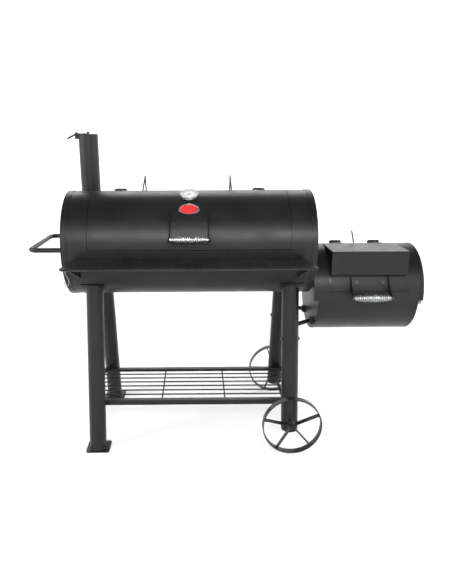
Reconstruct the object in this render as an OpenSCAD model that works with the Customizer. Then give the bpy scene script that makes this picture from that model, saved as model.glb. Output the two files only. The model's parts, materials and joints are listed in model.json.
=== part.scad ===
// Barrel charcoal grill with a side firebox, on splayed tube legs with two spoked wheels.
// Millimetres. +X towards the firebox, -Y is the front, +Z up, z = 0 on the ground.
// The origin is the middle of the whole grill's outline on the ground. All the parts are placed
// from the barrel's axis, and home() then moves them to that origin.

/* [Barrel] */
// Outer radius of the cooking barrel
barrel_r = 244.5; // [230:0.5:260]
// Half the barrel's length over its end caps
barrel_half = 568; // [540:1:600]
// Height of the barrel's axis above the ground
barrel_z = 949; // [920:1:980]
// Thickness of the barrel, firebox and lid sheet
sheet = 3; // [2:0.5:4]
// Width of the rim of each end cap
cap_rim = 25; // [15:1:35]

/* [Lid] */
// Half the width of the lid, a section cut out of the barrel
lid_half = 450.5; // [430:0.5:455]
// Angle of the lid's front edge above the barrel's front line
lid_front = 1.6; // [1:0.1:6]
// Angle of the lid's hinge pin from the barrel's front line
hinge_angle = 111.5; // [108:0.5:116]
// Distance of each hinge from the middle of the lid
hinge_x = 336; // [280:1:380]

/* [Firebox] */
// Outer radius of the firebox's lower half
firebox_r = 206; // [200:0.5:210]
// Height of the firebox's axis above the ground
firebox_z = 723.5; // [715:0.5:735]
// Left face of the firebox's lower half, from the middle of the barrel
firebox_x0 = 592; // [588:1:600]
// Right face of the firebox's lower half
firebox_x1 = 1054; // [1000:1:1080]
// Half the width of the firebox door
door_half = 177; // [150:1:180]

/* [Stand] */
// Radius of the leg tubes
leg_r = 39.5; // [32:0.5:42]
// Distance of the left legs from the middle of the barrel
leg_left_x = 447; // [430:1:455]
// Distance of the right legs and the axle from the middle of the barrel
leg_right_x = 472; // [440:1:480]
// Distance of each leg's foot from the barrel's middle plane
leg_foot_y = 278; // [260:1:300]
// How far a leg leans in over one unit of height
leg_lean = 0.187; // [0.15:0.001:0.2]
// Radius of the wheels
wheel_r = 138; // [125:1:145]
// Width of the wheels' rims
wheel_w = 30; // [22:1:34]
// Number of spokes in each wheel
spokes = 5; // [3:1:8]
// Height of the top of the lower shelf
rack_z = 205; // [200:1:260]

/* [Shelf, stack and handle] */
// Depth of the front shelf
shelf_depth = 203; // [150:1:220]
// Height of the top of the front shelf
shelf_z = 920; // [905:1:925]
// Outer radius of the smoke stack
stack_r = 47.5; // [40:0.5:48]
// Height of the top of the smoke stack
stack_top = 1450; // [1350:1:1500]
// Reach of the tow handle from the end cap to its crossbar
tow_reach = 151; // [120:1:170]

/* [Hidden] */
$fn = 64;

// Outline of the whole grill, from its outermost pieces.
tow_r = 11;
tow_x = -barrel_half - tow_reach;
ash_handle_x = firebox_x1 + 36;
shelf_back_y = -barrel_r - 2.5;
shelf_front_y = shelf_back_y - shelf_depth;
hem_r = 5;
axle_r = 8;
axle_half = 356;
shift_x = -(tow_x - tow_r + ash_handle_x) / 2;
shift_y = -(shelf_front_y - hem_r + axle_half) / 2;

// Lid and hinge.
seam = 1.5;
inner_r = barrel_r - sheet;
lid_back = hinge_angle - 3.7;
hinge_lift = 12;
knuckle_r = 9;
pin_r = 4;
pin_play = 0.05;
knuckle_w = 40;
ear_t = 5;
lid_stop_x = 205;

// Firebox door. The upper half of the firebox laps over the lower half.
upper_r = firebox_r + 4;
upper_x0 = barrel_half + 2;
upper_x1 = firebox_x1 + 18;
split_angle = -4.5;
door_x = (firebox_x0 + firebox_x1) / 2 - 2;
door_front = 8;
door_hinge_angle = 113;
door_back = door_hinge_angle - 4;
door_hinge_x = 96;
hood_top = firebox_z + upper_r + 2.5;
hood_front = -203;

// Handles: the rod hangs below and in front of its bracket.
handle_half = 87;
rod_r = 5;
coil_end_r = 12;
coil_mid_r = 19;
coil_half = 82;
lid_rod = [-295, barrel_z + 61];
door_rod = [-262, firebox_z + 11.5];

// Thermometer, badge and their angles on the lid.
gauge_angle = 66.8;
gauge_r = 42;
gauge_depth = 16;
badge_angle = 46.3;

// Stack, its rain cap and the cap's hinge.
stack_x = -499;
stack_y = 185;
cap_pivot_x = stack_x - stack_r - 9;
cap_pivot_z = stack_top + 6;

// Stand.
foot_t = 6;
wheel_y = 328;
hub_half = 20;
rack_y = 197;
rack_angle = 25;
saddle_angle = -54.5;

// Ash drawer and air shutter on the firebox's right end.
drawer_half = 95;
drawer_z = 548;
drawer_h = 40;
shutter_y = -95;
shutter_z = 655;
shutter_r = 62;

// ---- Helpers ----

module home() { translate([shift_x, shift_y, 0]) children(); }

// A point on a circle in the Y-Z plane. Angle 0 is the front and 90 the top.
function on_ring(r, angle, z_axis) = [-r * cos(angle), z_axis + r * sin(angle)];

// Extrudes an outline drawn in Y and Z along X.
module along_x(x0, x1) {
    translate([x0, 0, 0]) rotate([90, 0, 90]) linear_extrude(x1 - x0) children();
}

// Part of a tube along X between two angles.
module arc_sheet(r, t, x0, x1, a0, a1, z_axis) {
    translate([x0, 0, z_axis]) rotate([0, 90, 0]) rotate([0, 0, -90 - a1])
        rotate_extrude(angle = a1 - a0) translate([r - t, 0]) square([t, x1 - x0]);
}

module cylinder_x(r, x0, x1, y, z) {
    translate([x0, y, z]) rotate([0, 90, 0]) cylinder(h = x1 - x0, r = r);
}

module cylinder_y(r, y0, y1, x, z) {
    translate([x, y0, z]) rotate([-90, 0, 0]) cylinder(h = y1 - y0, r = r);
}

module tube_x(r, t, x0, x1, z) {
    difference() {
        cylinder_x(r, x0, x1, 0, z);
        cylinder_x(r - t, x0 - 1, x1 + 1, 0, z);
    }
}

// A round bar between two points.
module bar(p, q, r) {
    v = q - p;
    translate(p) rotate([0, acos(v.z / norm(v)), atan2(v.y, v.x)]) cylinder(h = norm(v), r = r);
}

// A round bar along a list of points, with ball corners.
module bent_bar(points, r) {
    for (i = [0 : len(points) - 2]) bar(points[i], points[i + 1], r);
    if (len(points) > 2) for (i = [1 : len(points) - 2]) translate(points[i]) sphere(r = r);
}

// Puts children on a ring round an axis along X: local +Z points out, local +Y to the back.
module on_shell(r, angle, x, z_axis) {
    translate([x, 0, z_axis]) rotate([90 - angle, 0, 0]) translate([0, 0, r]) children();
}

// A domed bolt head, standing on local z = 0.
module bolt_head(r = 6, h = 4) {
    cylinder(h = h * 0.6, r = r);
    translate([0, 0, h * 0.6]) cylinder(h = h * 0.4, r1 = r, r2 = r * 0.6);
}

// ---- Barrel ----

module barrel_shell() {
    color("#26272a") home() difference() {
        tube_x(barrel_r, sheet, -barrel_half + sheet, barrel_half - sheet, barrel_z);
        arc_sheet(barrel_r + 2, sheet + 4, -lid_half - seam, lid_half + seam,
            lid_front - 0.6, lid_back + 1, barrel_z);
        translate([stack_x, stack_y, barrel_z]) cylinder(h = barrel_r, r = stack_r - 4);
    }
}

// A shallow pan whose rim laps over the end of the barrel.
module end_cap(side) {
    face = barrel_half - sheet;
    cylinder_x(barrel_r, min(side * face, side * barrel_half), max(side * face, side * barrel_half),
        0, barrel_z);
    rim_in = side * (barrel_half - cap_rim);
    rim_out = side * barrel_half;
    difference() {
        cylinder_x(barrel_r + 2, min(rim_in, rim_out), max(rim_in, rim_out), 0, barrel_z);
        cylinder_x(barrel_r + 0.05, min(rim_in, rim_out) - 1, max(rim_in, rim_out) + 1,
            0, barrel_z);
    }
    arc_sheet(barrel_r + 2, 3, min(side * face, side * barrel_half),
        max(side * face, side * barrel_half), 0, 360, barrel_z);
}

// Outline of the passage between the barrel and the firebox, grown by a margin.
module passage(margin) {
    intersection() {
        translate([0, barrel_z]) circle(r = 222 + margin);
        translate([0, firebox_z]) circle(r = 186 + margin);
    }
}

module end_cap_left() {
    color("#26272a") home() end_cap(-1);
}

module end_cap_right() {
    color("#26272a") home() difference() {
        end_cap(1);
        along_x(barrel_half - 5, barrel_half + 5) passage(0);
    }
}

module cooking_grates() {
    sections = 4;
    bars = 11;
    half_y = 226;
    pitch = 2 * (barrel_half - 12) / sections;
    rod = 3;
    color("#3a3a3c") home() for (s = [0 : sections - 1]) {
        x0 = -barrel_half + 12 + s * pitch + 8.5;
        x1 = x0 + pitch - 17;
        for (y = [-half_y, 0, half_y]) cylinder_x(rod + 1, x0 - 7, x1 + 7, y, grate_z);
        for (i = [0 : bars - 1])
            cylinder_y(rod, -half_y, half_y, x0 + (x1 - x0) * i / (bars - 1), grate_z);
    }
}

grate_z = 925;
coal_grate_z = 802;

// Ledges welded inside the barrel, for the cooking grates and the charcoal grate.
module grate_ledges() {
    ledge_t = 3;
    color("#2b2b2d") home() for (side = [-1, 1]) {
        for (ledge = [[grate_z - 4 - ledge_t, 238.5, 18], [coal_grate_z - 4 - ledge_t, 186, 16]]) {
            y0 = side > 0 ? ledge[1] - ledge[2] : -ledge[1];
            translate([-barrel_half + 6, y0, ledge[0]])
                cube([2 * barrel_half - 12, ledge[2], ledge_t]);
        }
    }
}

module charcoal_grate() {
    bars = 28;
    half_y = 180;
    half_x = barrel_half - 14;
    color("#3a3a3c") home() {
        for (y = [-half_y, half_y]) cylinder_x(4, -half_x, half_x, y, coal_grate_z);
        for (i = [0 : bars - 1])
            cylinder_y(3.5, -half_y, half_y, -half_x + 6 + (2 * half_x - 12) * i / (bars - 1),
                coal_grate_z);
    }
}

// ---- Stack ----

module stack_pipe() {
    $fn = 192;
    color("#2c2d30") home() difference() {
        translate([stack_x, stack_y, barrel_z]) cylinder(h = stack_top - barrel_z, r = stack_r);
        translate([stack_x, stack_y, barrel_z - 1])
            cylinder(h = stack_top - barrel_z + 2, r = stack_r - 2.5);
        cylinder_x(barrel_r + 0.05, stack_x - 60, stack_x + 60, 0, barrel_z);
        cylinder_x(barrel_r + 2.2, -barrel_half - 10, -barrel_half + cap_rim + 0.2, 0, barrel_z);
    }
}

// Ears on the pipe's left side that hold the rain cap's pin.
module stack_hinge() {
    color("#202124") home() {
        for (side = [-1, 1]) {
            y0 = stack_y + (side > 0 ? 11 : -14);
            difference() {
                union() {
                    cylinder_y(6, y0, y0 + 3, cap_pivot_x, cap_pivot_z);
                    translate([cap_pivot_x - 6, y0, cap_pivot_z - 26]) cube([11, 3, 26]);
                    translate([cap_pivot_x - 6, y0, cap_pivot_z - 26]) cube([18, 3, 18]);
                }
                translate([stack_x, stack_y, 0]) cylinder(h = stack_top + 90, r = stack_r + 0.05);
            }
        }
        cylinder_y(3, stack_y - 17, stack_y + 17, cap_pivot_x, cap_pivot_z);
    }
}

// The rain cap is a disc with a strap to its hinge knuckle and a bolt through its middle.
module stack_cap() {
    color("#2c2d30") home() {
        translate([stack_x, stack_y, stack_top + 0.5]) cylinder(h = 3, r = stack_r + 3);
        translate([stack_x, stack_y, stack_top + 3.5]) cylinder(h = 12, r = 6);
        difference() {
            union() {
                cylinder_y(6.5, stack_y - 9, stack_y + 9, cap_pivot_x, cap_pivot_z);
                translate([cap_pivot_x, stack_y - 9, stack_top + 3.4])
                    cube([stack_x - cap_pivot_x - 8, 18, 4]);
            }
            cylinder_y(3 + pin_play, stack_y - 20, stack_y + 20, cap_pivot_x, cap_pivot_z);
        }
    }
}

// A rod with a coiled wire grip, pointing down to the left.
module stack_cap_handle() {
    start = [cap_pivot_x - 5.9, stack_y, cap_pivot_z - 2.9];
    v = [-41.8, 0, -20.5];
    turns = 9;
    color("#1b1b1c") home() translate(start) rotate([0, acos(v.z / norm(v)), 180])
        rotate_extrude() {
            square([3.2, norm(v) + 2]);
            for (i = [1 : turns]) translate([3.2, norm(v) * i / turns]) circle(r = 1.8, $fn = 24);
        }
}

// ---- Legs and wheels ----

// A leg's axis at a height: side -1 is the front, 1 the back.
function leg_axis(x, side, z) = [x, side * (leg_foot_y - leg_lean * z), z];

module leg(x, side, z0) {
    difference() {
        bar(leg_axis(x, side, z0 - 60), leg_axis(x, side, 800), leg_r);
        bar(leg_axis(x, side, z0 - 80), leg_axis(x, side, 820), leg_r - 3);
        cylinder_x(barrel_r + 4.1, x - 60, x + 60, 0, barrel_z);
        translate([x - 60, side * leg_foot_y - 80, z0 - 160]) cube([120, 160, 160]);
    }
}

module wheel_leg(x, side) {
    z0 = 86;
    difference() {
        union() {
            leg(x, side, z0);
            intersection() {
                bar(leg_axis(x, side, z0 - 60), leg_axis(x, side, z0 + 60), leg_r - 2.5);
                translate([x - 60, side * leg_foot_y - 80, z0]) cube([120, 160, 3]);
            }
        }
        cylinder_y(axle_r + 0.2, -axle_half - 20, axle_half + 20, x, wheel_r);
    }
}

module leg_front_left() { color("#2a2b2e") home() leg(-leg_left_x, -1, foot_t); }

module leg_rear_left() { color("#2a2b2e") home() leg(-leg_left_x, 1, foot_t); }

module leg_front_right() { color("#2a2b2e") home() wheel_leg(leg_right_x, -1); }

module leg_rear_right() { color("#2a2b2e") home() wheel_leg(leg_right_x, 1); }

// Curved plates between the legs and the barrel.
module saddle_plates() {
    half_x = 55;
    spread = 12.5;
    color("#2a2b2e") home() for (x = [-leg_left_x, leg_right_x], side = [0, 1])
        mirror([0, side, 0])
            arc_sheet(barrel_r + 4, 3.9, x - half_x, x + half_x,
                saddle_angle - spread, saddle_angle + spread, barrel_z);
}

module foot_plates() {
    half_x = 55;
    half_y = 50;
    corner = 12;
    color("#232427") home() for (side = [-1, 1])
        translate([-leg_left_x + 4, side * leg_foot_y, 0]) linear_extrude(foot_t) union() {
            square([2 * half_x, 2 * (half_y - corner)], center = true);
            square([2 * (half_x - corner), 2 * half_y], center = true);
            for (sx = [-1, 1], sy = [-1, 1])
                translate([sx * (half_x - corner), sy * (half_y - corner)]) circle(r = corner);
        }
}

// The axle has a cap nut at each end.
module axle() {
    color("#3b3c3e") home() {
        cylinder_y(axle_r, -axle_half + 4, axle_half - 4, leg_right_x, wheel_r);
        for (side = [-1, 1]) {
            y0 = side > 0 ? wheel_y + hub_half + 0.6 : -axle_half;
            cylinder_y(axle_r + 4, y0, y0 + axle_half - wheel_y - hub_half - 0.6,
                leg_right_x, wheel_r);
        }
    }
}

// A rim band, flat spokes whose width runs along the axle, and a hub tube.
module wheel(side, first_spoke) {
    rim_t = 5;
    hub_r = 15;
    spoke_w = 24;
    spoke_t = 4.5;
    translate([leg_right_x, side * wheel_y, wheel_r]) difference() {
        union() {
            difference() {
                cylinder_y(wheel_r, -wheel_w / 2, wheel_w / 2, 0, 0);
                cylinder_y(wheel_r - rim_t, -wheel_w, wheel_w, 0, 0);
            }
            cylinder_y(hub_r, -hub_half, hub_half, 0, 0);
            for (i = [0 : spokes - 1]) rotate([0, -first_spoke - i * 360 / spokes, 0])
                translate([hub_r - 2, -spoke_w / 2, -spoke_t / 2])
                    cube([wheel_r - rim_t - hub_r + 4, spoke_w, spoke_t]);
        }
        cylinder_y(axle_r + pin_play, -hub_half - 1, hub_half + 1, 0, 0);
    }
}

module wheel_front() { color("#2b2c2e") home() wheel(-1, 95); }

module wheel_rear() { color("#2b2c2e") home() wheel(1, 106); }

// ---- Lower shelf ----

rack_x0 = -leg_left_x - 33;
rack_x1 = leg_right_x + 33;

module rack_rails() {
    t = 3;
    color("#2f3032") home() for (side = [0, 1]) mirror([0, side, 0])
        along_x(rack_x0, rack_x1) difference() {
            translate([-rack_y, rack_z - rack_angle]) square(rack_angle);
            translate([-rack_y + t, rack_z - rack_angle - 1]) square([rack_angle, rack_angle + 1 - t]);
        }
}

module rack_end_bars() {
    color("#2f3032") home() for (x = [rack_x0, rack_x1 - 4])
        translate([x, -rack_y + 3.05, rack_z - rack_angle])
            cube([4, 2 * rack_y - 6.1, rack_angle - 3.05]);
}

module rack_wires() {
    long_wires = 6;
    pitch = 48;
    cross_gap = 310;
    wire_r = 3.6;
    middle = (rack_x0 + rack_x1) / 2;
    z = rack_z - 3 - wire_r - 0.05;
    color("#2f3032") home() {
        for (i = [0 : long_wires - 1])
            cylinder_x(wire_r, rack_x0 + 4.05, rack_x1 - 4.05, (i - (long_wires - 1) / 2) * pitch, z);
        for (x = [middle - cross_gap / 2, middle + cross_gap / 2])
            cylinder_y(wire_r, -rack_y + 3.05, rack_y - 3.05, x, z - 6);
    }
}

// ---- Front shelf ----

shelf_back_half = 505;
shelf_front_half = 527;
shelf_t = 3;

module front_shelf() {
    color("#2a2b2d") home() {
        translate([0, 0, shelf_z - shelf_t]) linear_extrude(shelf_t) polygon([
            [-shelf_back_half, shelf_back_y], [shelf_back_half, shelf_back_y],
            [shelf_front_half, shelf_front_y], [-shelf_front_half, shelf_front_y]]);
        bar([-shelf_front_half, shelf_front_y, shelf_z - hem_r],
            [shelf_front_half, shelf_front_y, shelf_z - hem_r], hem_r);
        for (side = [-1, 1]) translate([side * shelf_front_half, shelf_front_y, shelf_z - hem_r])
            sphere(r = hem_r);
    }
}

shelf_bracket_x = 492;

// Gusset plates under the shelf, with a curved foot on the barrel.
module shelf_brackets() {
    t = 4;
    top = shelf_z - shelf_t - 0.05;
    color("#222326") home() for (side = [-1, 1]) {
        x = side * shelf_bracket_x;
        difference() {
            union() {
                along_x(x - t / 2, x + t / 2) polygon([[-200, top], [shelf_front_y + 18, top],
                    [shelf_front_y + 18, top - 12], [-200, 815]]);
                translate([x - 14, shelf_front_y + 18, top - 3])
                    cube([28, -shelf_front_y - 18 - barrel_r - 3, 3]);
            }
            cylinder_x(barrel_r + 0.05, x - 40, x + 40, 0, barrel_z);
        }
        arc_sheet(barrel_r + 3, 2.9, x - 20, x + 20, -34, -9, barrel_z);
    }
}

// Bent wire hooks for tools, hanging from the left bracket.
module tool_hooks() {
    x = -shelf_bracket_x - 2.1;
    color("#b9bcc0") home() for (y = [-312])
        bent_bar([[x, y, 892], [x - 48, y, 879], [x - 28, y, 838], [x - 36, y, 812],
            [x - 51, y, 832]], 2);
}

// ---- Tow handle ----

module tow_handle() {
    half_y = 193;
    bend = 34;
    z = barrel_z - 1.5;
    color("#232427") home() {
        for (side = [-1, 1]) {
            cylinder_x(tow_r, tow_x + bend, -barrel_half - 0.05, side * half_y, z);
            cylinder_x(tow_r + 9, -barrel_half - 5, -barrel_half - 0.05, side * half_y, z);
            translate([tow_x + bend, side * (half_y - bend), z])
                rotate([0, 0, side > 0 ? 90 : 180])
                    rotate_extrude(angle = 90) translate([bend, 0]) circle(r = tow_r);
        }
        cylinder_y(tow_r, -half_y + bend, half_y - bend, tow_x, z);
    }
}

// ---- Hinges ----

// Two ears on a curved foot behind the seam, with a fixed pin through them.
module hinge_bracket(x, r, angle, z_axis) {
    axis = on_ring(r + hinge_lift, angle, z_axis);
    half = knuckle_w / 2;
    for (side = [-1, 1]) {
        x0 = side > 0 ? x + half + 0.5 : x - half - 0.5 - ear_t;
        difference() {
            along_x(x0, x0 + ear_t) {
                translate(axis) circle(r = knuckle_r);
                polygon([on_ring(r + hinge_lift + knuckle_r * 0.8, angle + 1, z_axis),
                    on_ring(r + hinge_lift - knuckle_r * 0.4, angle - 1.6, z_axis),
                    on_ring(r - 5, angle + 2, z_axis), on_ring(r - 5, angle + 15, z_axis)]);
            }
            cylinder_x(r + 1, x0 - 1, x0 + ear_t + 1, 0, z_axis);
        }
    }
    arc_sheet(r + 3, 2.95, x - half - ear_t - 4, x + half + ear_t + 4,
        angle + 4, angle + 17, z_axis);
    cylinder_x(pin_r, x - half - ear_t - 5, x + half + ear_t + 4, axis[0], axis[1]);
}

// A knuckle on the pin and a strap that runs forwards over the moving sheet.
module hinge_strap(x, r, angle, z_axis) {
    axis = on_ring(r + hinge_lift, angle, z_axis);
    half = knuckle_w / 2;
    along_x(x - half, x + half) difference() {
        union() {
            translate(axis) circle(r = knuckle_r);
            polygon([on_ring(r + 1.2, angle + 1, z_axis), on_ring(r + 6, angle + 1, z_axis),
                on_ring(r + 4.6, angle - 8, z_axis), on_ring(r + 1.2, angle - 8, z_axis)]);
            intersection() {
                translate([0, z_axis]) difference() {
                    circle(r = r + 3.5);
                    circle(r = r + 0.1);
                }
                polygon([[0, z_axis], on_ring(r + 60, angle - 5.5, z_axis),
                    on_ring(r + 60, angle - 21, z_axis)]);
            }
        }
        translate(axis) circle(r = pin_r + pin_play);
    }
}

module lid_hinge_brackets() {
    color("#1e1f21") home() for (x = [-hinge_x, hinge_x])
        hinge_bracket(x, barrel_r, hinge_angle, barrel_z);
}

module lid_hinge_straps() {
    color("#1e1f21") home() for (x = [-hinge_x, hinge_x])
        hinge_strap(x, barrel_r, hinge_angle, barrel_z);
}

module door_hinge_brackets() {
    color("#1e1f21") home() for (x = [door_x - door_hinge_x, door_x + door_hinge_x])
        hinge_bracket(x, upper_r, door_hinge_angle, firebox_z);
}

module door_hinge_straps() {
    color("#1e1f21") home() for (x = [door_x - door_hinge_x, door_x + door_hinge_x])
        hinge_strap(x, upper_r, door_hinge_angle, firebox_z);
}

// A bent rod on the lid that meets the fixed shell behind the hinge when the lid is open.
module stop_rod(x, r, feet, z_axis, apex) {
    front = on_ring(r - 12, feet[0], z_axis);
    back = on_ring(r - 12, feet[1], z_axis);
    rod = 3.5;
    top = [x, apex[0], apex[1]];
    difference() {
        union() {
            bar([x - 7, front[0], front[1]], top, rod);
            bar([x + 7, back[0], back[1]], top, rod);
            translate(top) sphere(r = rod + 0.6);
        }
        cylinder_x(r + 0.05, x - 20, x + 20, 0, z_axis);
    }
}

module lid_stops() {
    color("#1b1b1d") home() for (x = [-lid_stop_x - 11, lid_stop_x - 8])
        stop_rod(x, barrel_r, [92, 105], barrel_z, [96, barrel_z + 305]);
}

module door_stop() {
    color("#1b1b1d") home()
        stop_rod(door_x - 14, upper_r, [92, 106], firebox_z, [89, firebox_z + 257]);
}

// ---- Handles ----

// A folded bracket: a curved back plate and two side ears that carry the rod.
module handle_bracket(x, r, top, bottom, rod, z_axis) {
    t = 2.5;
    for (side = [-1, 1]) {
        x0 = side > 0 ? x + handle_half - t : x - handle_half;
        difference() {
            along_x(x0, x0 + t) {
                translate(rod) circle(r = 10);
                polygon([on_ring(r - 2, top, z_axis), on_ring(r + 8, top - 0.5, z_axis),
                    rod + [-9.6, 3], rod + [2, -9.8], on_ring(r - 2, bottom - 1, z_axis)]);
            }
            cylinder_x(r + 1, x0 - 1, x0 + t + 1, 0, z_axis);
            cylinder_x(rod_r + 0.05, x0 - 1, x0 + t + 1, rod[0], rod[1]);
        }
    }
    arc_sheet(r + t, t - 0.05, x - handle_half - 1, x + handle_half + 1, bottom, top - 2, z_axis);
}

// The rod has a cap nut outside each ear.
module handle_rod(x, rod) {
    cylinder_x(rod_r, x - handle_half - 9, x + handle_half + 9, rod[0], rod[1]);
    for (side = [-1, 1]) {
        x0 = side > 0 ? x + handle_half + 0.1 : x - handle_half - 7.1;
        cylinder_x(rod_r + 3.5, x0, x0 + 7, rod[0], rod[1]);
    }
}

// The grip is a wire coil, thick in the middle: its envelope, with a bore for the rod.
module handle_coil(x, rod) {
    wire_r = 2.2;
    turns = 19;
    translate([x, rod[0], rod[1]]) rotate([0, 90, 0]) rotate_extrude() {
        for (i = [0 : turns - 1]) {
            u = 2 * i / (turns - 1) - 1;
            core = coil_end_r + (coil_mid_r - coil_end_r) * (1 - u * u) - wire_r;
            translate([core, u * coil_half]) circle(r = wire_r, $fn = 24);
        }
        translate([rod_r + 0.1, -coil_half]) square([coil_end_r - wire_r - rod_r - 0.1, 2 * coil_half]);
        intersection() {
            translate([rod_r + 0.1, -coil_half]) square([coil_mid_r, 2 * coil_half]);
            translate([coil_mid_r - wire_r - 484, 0]) circle(r = 484, $fn = 256);
        }
    }
}

module lid_handle_bracket() {
    color("#1f2022") home() handle_bracket(0, barrel_r, 40.5, 19, lid_rod, barrel_z);
}

module lid_handle_rod() { color("#c8cacd") home() handle_rod(0, lid_rod); }

module lid_handle_coil() { color("#d2d4d7") home() handle_coil(0, lid_rod); }

module door_handle_bracket() {
    color("#1f2022") home() handle_bracket(door_x, upper_r, 27, 9.5, door_rod, firebox_z);
}

module door_handle_rod() { color("#c8cacd") home() handle_rod(door_x, door_rod); }

module door_handle_coil() { color("#d2d4d7") home() handle_coil(door_x, door_rod); }

// ---- Lid ----

module lid_shell() {
    color("#26272a") home() difference() {
        arc_sheet(barrel_r, sheet, -lid_half, lid_half, lid_front, lid_back, barrel_z);
        on_shell(0, gauge_angle, 0, barrel_z) cylinder(h = 300, r = 7);
    }
}

// Thermometer: a round case on a stem through the lid, with a dial, a needle and a lens.
module thermometer_case() {
    color("#b4b7ba") home() on_shell(barrel_r, gauge_angle, 0, barrel_z) difference() {
        union() {
            translate([0, 0, 6]) cylinder(h = gauge_depth - 6, r = gauge_r);
            translate([0, 0, 1.2]) cylinder(h = 6, r = 14);
            translate([0, 0, -50]) cylinder(h = 56, r = 4);
        }
        translate([0, 0, 9]) cylinder(h = 20, r = gauge_r - 4);
    }
}

module thermometer_dial() {
    color("white") home() on_shell(barrel_r, gauge_angle, 0, barrel_z)
        translate([0, 0, 9.05]) cylinder(h = 1.5, r = gauge_r - 4.2);
}

module thermometer_lens() {
    color([0.9, 0.95, 1, 0.35]) home() on_shell(barrel_r, gauge_angle, 0, barrel_z)
        translate([0, 0, 15.2]) cylinder(h = 2, r = gauge_r - 4.2);
}

// The needle turns on a short post of its own, just above the dial.
module thermometer_needle() {
    color("#151515") home() on_shell(barrel_r, gauge_angle, 0, barrel_z) translate([0, 0, 11.2]) {
        cylinder(h = 2.6, r = 3.5);
        rotate([0, 0, 215]) translate([-8, -0.9, 0.6]) cube([38, 1.8, 1]);
    }
}

// A plain oval plate, curved to the lid.
module lid_badge() {
    half_w = 46;
    half_h = 29;
    big = (half_w * half_w + half_h * half_h) / (2 * half_h);
    color("#a83232") home() intersection() {
        arc_sheet(barrel_r + 2, 1.95, -60, 60, badge_angle - 12, badge_angle + 12, barrel_z);
        on_shell(barrel_r - 20, badge_angle, 0, barrel_z) linear_extrude(50) intersection() {
            translate([0, half_h - big]) circle(r = big);
            translate([0, big - half_h]) circle(r = big);
            square([2 * half_w - 8, 2 * half_h], center = true);
        }
    }
}

// Bolt heads on the lid's handle bracket.
module lid_bolts() {
    color("#141415") home() for (x = [-68, 68])
        on_shell(barrel_r + 2.6, 28, x, barrel_z) bolt_head();
}

// ---- Firebox ----

// One bent sheet with a raised band at each end.
module firebox_lower_shell() {
    band = 12;
    x0 = firebox_x0 + sheet + 0.05;
    length = firebox_x1 - firebox_x0 - 2 * sheet - 0.1;
    a0 = 180 - split_angle + 8;
    a1 = 360 + split_angle + 4;
    color("#26272a") home() translate([x0, 0, firebox_z]) rotate([0, 90, 0])
        rotate([0, 0, -90 - a1]) rotate_extrude(angle = a1 - a0) {
            translate([firebox_r - sheet, 0]) square([sheet, length]);
            for (x = [1, length - band - 1])
                translate([firebox_r - 1, x]) square([1.8, band]);
        }
}

module firebox_upper_shell() {
    color("#26272a") home() {
        difference() {
            arc_sheet(upper_r, sheet, upper_x0, upper_x1, split_angle, 180 - split_angle,
                firebox_z);
            arc_sheet(upper_r + 2, sheet + 4, door_x - door_half - seam,
                door_x + door_half + seam, door_front - 0.6, door_back + 1, firebox_z);
        }
        arc_sheet(upper_r + 1.5, 2, upper_x1 - 13, upper_x1, split_angle, 180 - split_angle,
            firebox_z);
        along_x(upper_x1 - sheet, upper_x1) difference() {
            translate([0, firebox_z]) circle(r = upper_r - 1);
            translate([-300, firebox_z - 600 + upper_r * sin(split_angle)]) square([600, 600]);
        }
    }
}

// The left end plate holds the passage to the barrel.
module firebox_cap_left() {
    color("#2b2c2f") home() difference() {
        cylinder_x(firebox_r, firebox_x0, firebox_x0 + sheet, 0, firebox_z);
        along_x(firebox_x0 - 1, firebox_x0 + 5) passage(0);
    }
}

vent_holes = 4;

module firebox_cap_right() {
    color("#2b2c2f") home() difference() {
        cylinder_x(firebox_r, firebox_x1 - sheet, firebox_x1, 0, firebox_z);
        translate([firebox_x1 - 5, -drawer_half - 2, drawer_z - 2])
            cube([10, 2 * drawer_half + 4, drawer_h + 4]);
        for (i = [0 : vent_holes - 1]) translate([firebox_x1 - 5, shutter_y, shutter_z])
            rotate([i * 360 / vent_holes, 0, 0]) translate([0, 0, 36]) rotate([0, 90, 0])
                cylinder(h = 10, r = 15);
    }
}

// The short duct between the barrel's and the firebox's end plates.
module firebox_duct() {
    color("#2b2c2f") home() along_x(barrel_half + 0.05, firebox_x0 - 0.05) difference() {
        passage(6);
        passage(2);
    }
}

brace_z = 572;

// A bar from each wheel leg to a bracket on the firebox's left end plate.
module firebox_braces() {
    color("#232427") home() for (side = [-1, 1]) {
        foot = leg_axis(leg_right_x, side, brace_z);
        difference() {
            bar(foot, [firebox_x0 - 10, side * 96, brace_z + 4], 10);
            bar(leg_axis(leg_right_x, side, brace_z - 100),
                leg_axis(leg_right_x, side, brace_z + 100), leg_r + 0.05);
        }
        translate([firebox_x0 - 14, side * 96 - 14, brace_z - 12]) cube([13.9, 28, 32]);
    }
}

module firebox_grate() {
    bars = 20;
    half_y = 183;
    z = 652;
    x0 = firebox_x0 + 12;
    x1 = firebox_x1 - 12;
    color("#3a3a3c") home() {
        for (y = [-half_y, half_y]) cylinder_x(4, x0, x1, y, z);
        for (i = [0 : bars - 1])
            cylinder_y(4, -half_y, half_y, x0 + 5 + (x1 - x0 - 10) * i / (bars - 1), z);
    }
}

// ---- Firebox door ----

module door_shell() {
    color("#26272a") home()
        arc_sheet(upper_r, sheet, door_x - door_half, door_x + door_half, door_front, door_back,
            firebox_z);
}

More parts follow.
